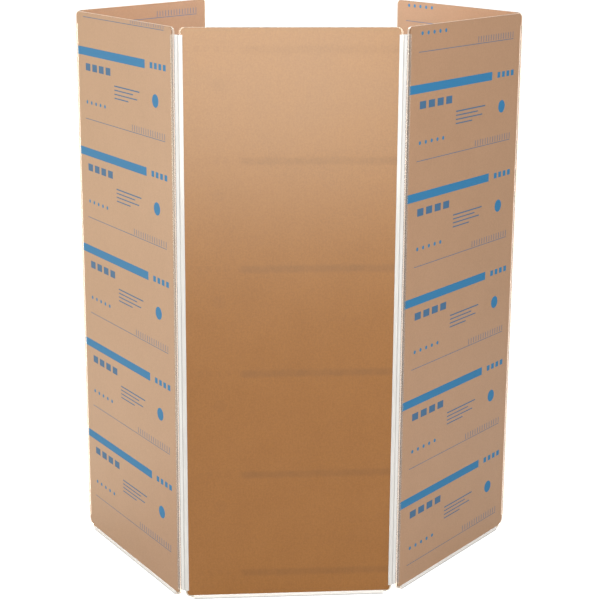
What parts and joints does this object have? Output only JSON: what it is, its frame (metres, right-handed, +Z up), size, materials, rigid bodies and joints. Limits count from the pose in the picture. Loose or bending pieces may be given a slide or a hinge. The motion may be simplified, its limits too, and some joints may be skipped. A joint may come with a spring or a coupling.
{
  "type": "drum shield",
  "caption": "Free-standing folding drum shield: tall clear acrylic panels still in brown masking paper, joined by clear full-height hinges and standing in a C.",
  "frame": {"origin": "middle of the underside of the centre panel's bottom strip, on the floor", "axes": "+Z up, +X along the centre panel to the right as seen from outside the shield, +Y into the drummer's space"},
  "size_m": [1.3589, 1.0321, 1.6764],
  "materials": {
    "acrylic": "clear cast acrylic with polished faces",
    "masking_paper": "brown kraft masking paper, matte with fine fibres",
    "clear_vinyl": "clear extruded vinyl, slightly milky"
  },
  "bodies": {
    "centre_panel": {"centre_sheet": "acrylic", "centre_outer_masking": "masking_paper", "centre_inner_masking": "masking_paper", "centre_bottom_strip": "clear_vinyl", "centre_left_hinge_channel": "clear_vinyl", "centre_right_hinge_channel": "clear_vinyl"},
    "front_left_spine": {"front_left_hinge_spine": "clear_vinyl"},
    "left_panel": {"left_sheet": "acrylic", "left_outer_masking": "masking_paper", "left_inner_masking": "masking_paper", "left_bottom_strip": "clear_vinyl", "left_front_hinge_channel": "clear_vinyl", "left_rear_hinge_channel": "clear_vinyl"},
    "rear_left_spine": {"rear_left_hinge_spine": "clear_vinyl"},
    "rear_left_panel": {"rear_left_sheet": "acrylic", "rear_left_outer_masking": "masking_paper", "rear_left_inner_masking": "masking_paper", "rear_left_bottom_strip": "clear_vinyl", "rear_left_hinge_channel": "clear_vinyl"},
    "front_right_spine": {"front_right_hinge_spine": "clear_vinyl"},
    "right_panel": {"right_sheet": "acrylic", "right_outer_masking": "masking_paper", "right_inner_masking": "masking_paper", "right_bottom_strip": "clear_vinyl", "right_front_hinge_channel": "clear_vinyl", "right_rear_hinge_channel": "clear_vinyl"},
    "rear_right_spine": {"rear_right_hinge_spine": "clear_vinyl"},
    "rear_right_panel": {"rear_right_sheet": "acrylic", "rear_right_outer_masking": "masking_paper", "rear_right_inner_masking": "masking_paper", "rear_right_bottom_strip": "clear_vinyl", "rear_right_hinge_channel": "clear_vinyl"}
  },
  "joints": [
    {"name": "front_left_first_crease", "type": "hinge", "parent": "centre_panel", "child": "front_left_spine", "pos_m": [-0.3081, 0, 0], "axis": [0, 0, -1], "range_deg": [-120.5, 59.5]},
    {"name": "front_left_second_crease", "type": "hinge", "parent": "front_left_spine", "child": "left_panel", "pos_m": [-0.31758, 0.00558, 0], "axis": [0, 0, -1], "range_deg": [-120.5, 59.5]},
    {"name": "rear_left_first_crease", "type": "hinge", "parent": "left_panel", "child": "rear_left_spine", "pos_m": [-0.61632, 0.54452, 0], "axis": [0, 0, 1], "range_deg": [-55.5, 124.5]},
    {"name": "rear_left_second_crease", "type": "hinge", "parent": "rear_left_spine", "child": "rear_left_panel", "pos_m": [-0.61526, 0.55547, 0], "axis": [0, 0, 1], "range_deg": [-55.5, 124.5]},
    {"name": "front_right_first_crease", "type": "hinge", "parent": "centre_panel", "child": "front_right_spine", "pos_m": [0.3081, 0, 0], "axis": [0, 0, -1], "range_deg": [-66.25, 113.75]},
    {"name": "front_right_second_crease", "type": "hinge", "parent": "front_right_spine", "child": "right_panel", "pos_m": [0.31817, 0.00443, 0], "axis": [0, 0, -1], "range_deg": [-66.25, 113.75]},
    {"name": "rear_right_first_crease", "type": "hinge", "parent": "right_panel", "child": "rear_right_spine", "pos_m": [0.73447, 0.45874, 0], "axis": [0, 0, 1], "range_deg": [-126.25, 53.75]},
    {"name": "rear_right_second_crease", "type": "hinge", "parent": "rear_right_spine", "child": "rear_right_panel", "pos_m": [0.73566, 0.46968, 0], "axis": [0, 0, 1], "range_deg": [-126.25, 53.75]}
  ]
}
